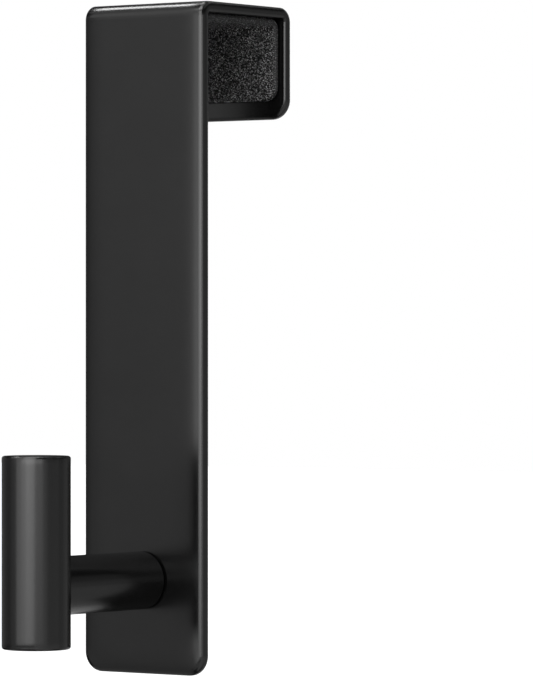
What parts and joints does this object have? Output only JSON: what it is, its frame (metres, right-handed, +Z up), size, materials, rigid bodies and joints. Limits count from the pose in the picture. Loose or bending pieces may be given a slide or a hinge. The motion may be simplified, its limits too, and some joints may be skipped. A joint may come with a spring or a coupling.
{
  "type": "over door hook",
  "caption": "Wide steel strip folded over a door's top edge and lined with sponge, with a round post near its lower end that carries an upright round bar to hang things on.",
  "frame": {"origin": "middle of the lining face that rests on the door's top edge, halfway through the door's thickness", "axes": "+Z up along the door, -Y out of the room side of the door towards the bar, +X across the strip"},
  "size_m": [0.0426, 0.1005, 0.19],
  "materials": {
    "coated_steel": "satin near-black powder coat",
    "sponge": "dull open-cell sponge with a coarse grain",
    "screw_steel": "black oxide"
  },
  "bodies": {
    "root": {"strap": "coated_steel", "post": "coated_steel", "hook_bar": "coated_steel", "foam_liner": "sponge", "mounting_screw": "screw_steel"}
  },
  "joints": []
}
